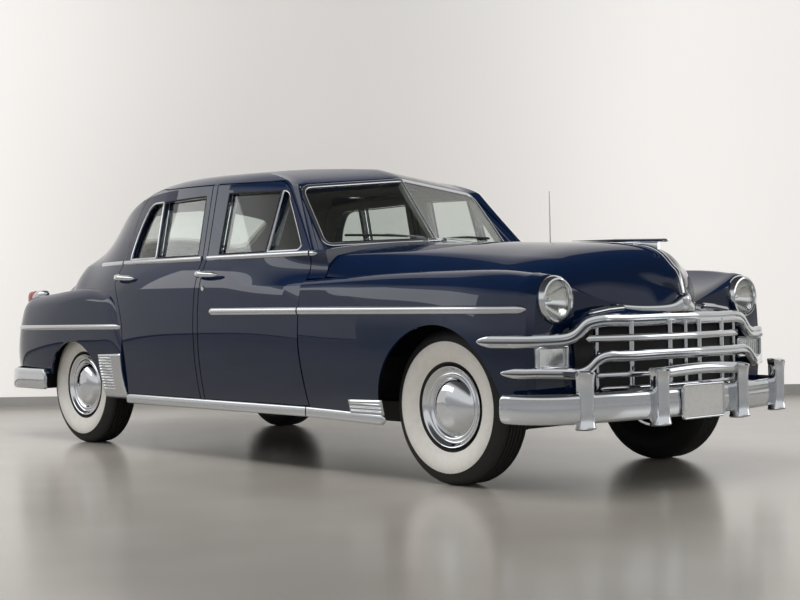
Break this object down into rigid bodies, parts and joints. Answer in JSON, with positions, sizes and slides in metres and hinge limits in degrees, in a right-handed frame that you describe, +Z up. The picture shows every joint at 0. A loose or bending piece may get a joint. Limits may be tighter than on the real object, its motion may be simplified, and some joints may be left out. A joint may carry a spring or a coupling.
{
  "type": "classic sedan",
  "caption": "Full-size classic sedan on a ladder frame, with opening doors, hood and trunk lid, steered front wheels and a chrome grille.",
  "frame": {"origin": "on the ground under the middle of the overall length and width", "axes": "+X forward, +Y to the left, +Z up"},
  "size_m": [5.26, 1.9, 1.6507],
  "materials": {
    "paint": "gloss navy enamel",
    "chrome": "polished plating",
    "glass": "clear",
    "lamp": "fluted lens in a plated bezel",
    "red_lens": "red lens",
    "tyre": "black rubber, wide white wall",
    "wheel": "plated cap and trim ring",
    "chassis": "satin black",
    "engine": "cast",
    "dash": "satin",
    "cloth": "grey wool cloth"
  },
  "bodies": {
    "body": {"frame": "chassis", "front_suspension": "chassis", "rear_axle": "chassis", "propeller_shaft": "chassis", "engine": "engine", "exhaust": "chassis", "fuel_tank": "chassis", "radiator": "chassis", "floor": "chassis", "roof": "paint", "cowl": "paint", "sills": "paint", "rear_body": "paint", "front_fenders": "paint", "rear_fenders": "paint", "nose_panel": "paint", "grille": "chrome", "front_bumper": "chrome", "rear_bumper": "chrome", "front_lamps": "lamp", "tail_lamps": "red_lens", "windshield": "glass", "rear_window": "glass", "dashboard": "dash", "front_seat": "cloth", "rear_seat": "cloth"},
    "hood": {"hood": "paint", "hood_ornament": "chrome"},
    "trunk_lid": {"trunk_lid": "paint"},
    "steering_wheel": {"steering_wheel": "dash"},
    "front_door_right": {"front_door_right": "paint", "front_door_glass_right": "glass"},
    "front_door_left": {"front_door_left": "paint", "front_door_glass_left": "glass"},
    "rear_door_right": {"rear_door_right": "paint", "rear_door_glass_right": "glass"},
    "rear_door_left": {"rear_door_left": "paint", "rear_door_glass_left": "glass"},
    "knuckle_right": {"knuckle_right": "chassis"},
    "knuckle_left": {"knuckle_left": "chassis"},
    "wheel_front_right": {"tyre_front_right": "tyre", "wheel_front_right": "wheel"},
    "wheel_front_left": {"tyre_front_left": "tyre", "wheel_front_left": "wheel"},
    "wheel_rear_right": {"tyre_rear_right": "tyre", "wheel_rear_right": "wheel"},
    "wheel_rear_left": {"tyre_rear_left": "tyre", "wheel_rear_left": "wheel"}
  },
  "joints": [
    {"name": "front_door_right_swing", "type": "hinge", "parent": "body", "child": "front_door_right", "pos_m": [0.777, -0.938, 0.7], "axis": [0, 0, 1], "range_deg": [0, 65]},
    {"name": "front_door_left_swing", "type": "hinge", "parent": "body", "child": "front_door_left", "pos_m": [0.777, 0.938, 0.7], "axis": [0, 0, -1], "range_deg": [0, 65]},
    {"name": "rear_door_right_swing", "type": "hinge", "parent": "body", "child": "rear_door_right", "pos_m": [-0.2, -0.938, 0.7], "axis": [0, 0, 1], "range_deg": [0, 65]},
    {"name": "rear_door_left_swing", "type": "hinge", "parent": "body", "child": "rear_door_left", "pos_m": [-0.2, 0.938, 0.7], "axis": [0, 0, -1], "range_deg": [0, 65]},
    {"name": "steer_right", "type": "hinge", "parent": "body", "child": "knuckle_right", "pos_m": [1.75, -0.682, 0.365], "axis": [0, 0, 1], "range_deg": [-30, 30]},
    {"name": "steer_left", "type": "hinge", "parent": "body", "child": "knuckle_left", "pos_m": [1.75, 0.682, 0.365], "axis": [0, 0, 1], "range_deg": [-30, 30]},
    {"name": "wheel_front_right_spin", "type": "hinge", "parent": "knuckle_right", "child": "wheel_front_right", "pos_m": [1.75, -0.744, 0.365], "axis": [0, 1, 0], "continuous": true},
    {"name": "wheel_front_left_spin", "type": "hinge", "parent": "knuckle_left", "child": "wheel_front_left", "pos_m": [1.75, 0.744, 0.365], "axis": [0, 1, 0], "continuous": true},
    {"name": "wheel_rear_right_spin", "type": "hinge", "parent": "body", "child": "wheel_rear_right", "pos_m": [-1.59, -0.753, 0.365], "axis": [0, 1, 0], "continuous": true},
    {"name": "wheel_rear_left_spin", "type": "hinge", "parent": "body", "child": "wheel_rear_left", "pos_m": [-1.59, 0.753, 0.365], "axis": [0, 1, 0], "continuous": true},
    {"name": "hood_lift", "type": "hinge", "parent": "body", "child": "hood", "pos_m": [0.87, 0, 1.182], "axis": [0, -1, 0], "range_deg": [0, 55]},
    {"name": "trunk_lift", "type": "hinge", "parent": "body", "child": "trunk_lid", "pos_m": [-1.95, 0, 1.155], "axis": [0, 1, 0], "range_deg": [0, 70]},
    {"name": "steering_wheel_turn", "type": "hinge", "parent": "body", "child": "steering_wheel", "pos_m": [0.38343, 0.37, 1.04508], "axis": [-0.7396, 0, 0.673], "range_deg": [-600, 600]}
  ],
  "couplings": [
    {"joint": "steer_right", "follows": "steer_left", "ratio": 1},
    {"joint": "steering_wheel_turn", "follows": "steer_left", "ratio": 20}
  ]
}
